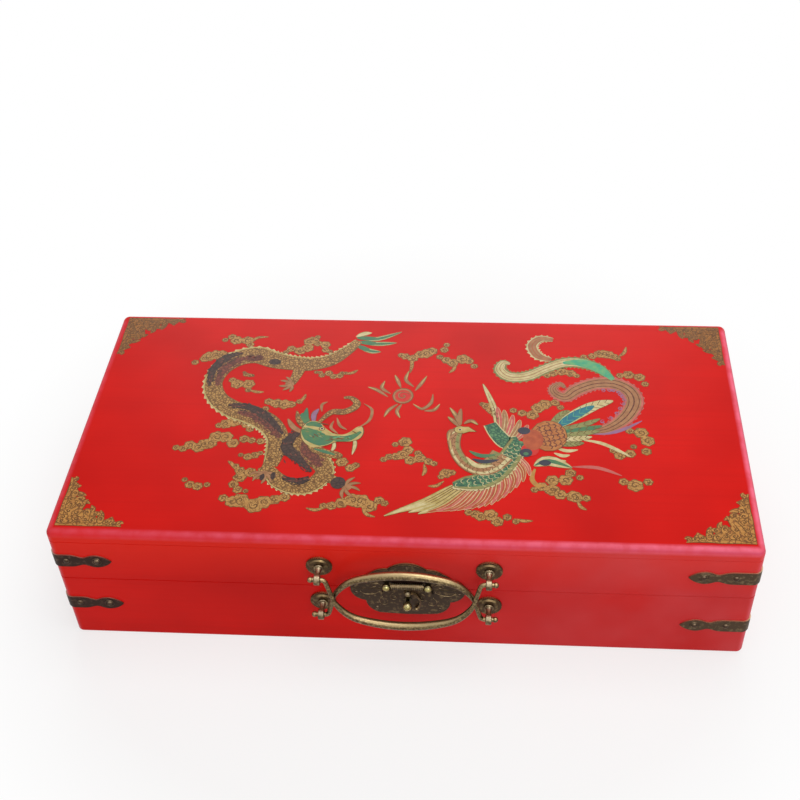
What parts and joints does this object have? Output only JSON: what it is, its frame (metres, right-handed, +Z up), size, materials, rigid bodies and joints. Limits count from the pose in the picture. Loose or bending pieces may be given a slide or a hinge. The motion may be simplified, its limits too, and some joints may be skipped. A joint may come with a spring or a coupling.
{
  "type": "wooden storage box",
  "caption": "Flat rectangular lacquered wooden case with a rear-hinged lid, two folding bail handles, a lock plate with a hinged hasp and swivel hook, and metal corner straps.",
  "frame": {"origin": "middle of the flat underside of the base, on the surface it rests on", "axes": "+X to the right along the length seen from the front, -Y towards the front with the lock, +Z up"},
  "size_m": [0.4538, 0.2455, 0.101],
  "materials": {
    "lacquered_wood": "glossy red lacquer with painted ornament",
    "lining_felt": "dark red felt on stiff card",
    "antique_brass": "antiqued dark brown brass",
    "handle_brass": "antiqued brass rubbed bright by handling",
    "worn_brass": "brass worn bright on the ball heads"
  },
  "bodies": {
    "base": {"base_floor_board": "lacquered_wood", "base_front_panel": "lacquered_wood", "base_rear_panel": "lacquered_wood", "base_left_panel": "lacquered_wood", "base_right_panel": "lacquered_wood", "base_floor_lining": "lining_felt", "base_wall_lining": "lining_felt", "base_strap_front_left": "antique_brass", "base_strap_front_right": "antique_brass", "base_strap_rear_left": "antique_brass", "base_strap_rear_right": "antique_brass", "base_strap_nails": "antique_brass", "lower_lock_plate": "antique_brass", "lower_plate_nails": "antique_brass", "staple": "worn_brass", "base_hinge_leaf_left": "antique_brass", "base_hinge_leaf_right": "antique_brass", "hinge_pin_left": "antique_brass", "hinge_pin_right": "antique_brass", "base_hinge_screws": "antique_brass", "lower_rosette_left": "antique_brass", "lower_rosette_right": "antique_brass", "lower_post_left": "antique_brass", "lower_post_right": "antique_brass"},
    "lid": {"lid_top_board": "lacquered_wood", "lid_front_rail": "lacquered_wood", "lid_rear_rail": "lacquered_wood", "lid_left_rail": "lacquered_wood", "lid_right_rail": "lacquered_wood", "lid_top_lining": "lining_felt", "lid_wall_lining": "lining_felt", "lid_strap_front_left": "antique_brass", "lid_strap_front_right": "antique_brass", "lid_strap_rear_left": "antique_brass", "lid_strap_rear_right": "antique_brass", "lid_strap_nails": "antique_brass", "upper_lock_plate": "antique_brass", "upper_plate_nails": "antique_brass", "hasp_stud_left": "worn_brass", "hasp_stud_right": "worn_brass", "hasp_hinge_rod": "antique_brass", "lid_hinge_leaf_left": "antique_brass", "lid_hinge_leaf_right": "antique_brass", "lid_hinge_screws": "antique_brass", "upper_rosette_left": "antique_brass", "upper_rosette_right": "antique_brass", "upper_post_left": "antique_brass", "upper_post_right": "antique_brass"},
    "hasp": {"hasp": "antique_brass", "hook_pivot": "worn_brass"},
    "hook": {"swivel_hook": "antique_brass"},
    "upper_handle": {"upper_handle": "handle_brass"},
    "lower_handle": {"lower_handle": "handle_brass"}
  },
  "joints": [
    {"name": "lid_hinge", "type": "hinge", "parent": "base", "child": "lid", "pos_m": [0, 0.11285, 0.057], "axis": [-1, 0, 0], "range_deg": [0, 105]},
    {"name": "hasp_hinge", "type": "hinge", "parent": "lid", "child": "hasp", "pos_m": [0.004, -0.114, 0.0623], "axis": [-1, 0, 0], "range_deg": [0, 110]},
    {"name": "hook_swivel", "type": "hinge", "parent": "hasp", "child": "hook", "pos_m": [0.0043, -0.114, 0.0568], "axis": [0, -1, 0], "range_deg": [-40, 45]},
    {"name": "upper_handle_hinge", "type": "hinge", "parent": "lid", "child": "upper_handle", "pos_m": [0.0023, -0.1225, 0.077], "axis": [-1, 0, 0], "range_deg": [0, 190]},
    {"name": "lower_handle_hinge", "type": "hinge", "parent": "base", "child": "lower_handle", "pos_m": [0.0023, -0.1225, 0.0424], "axis": [1, 0, 0], "range_deg": [0, 152]}
  ],
  "couplings": [
    {"joint": "lower_handle_hinge", "follows": "upper_handle_hinge", "ratio": 0.8}
  ]
}
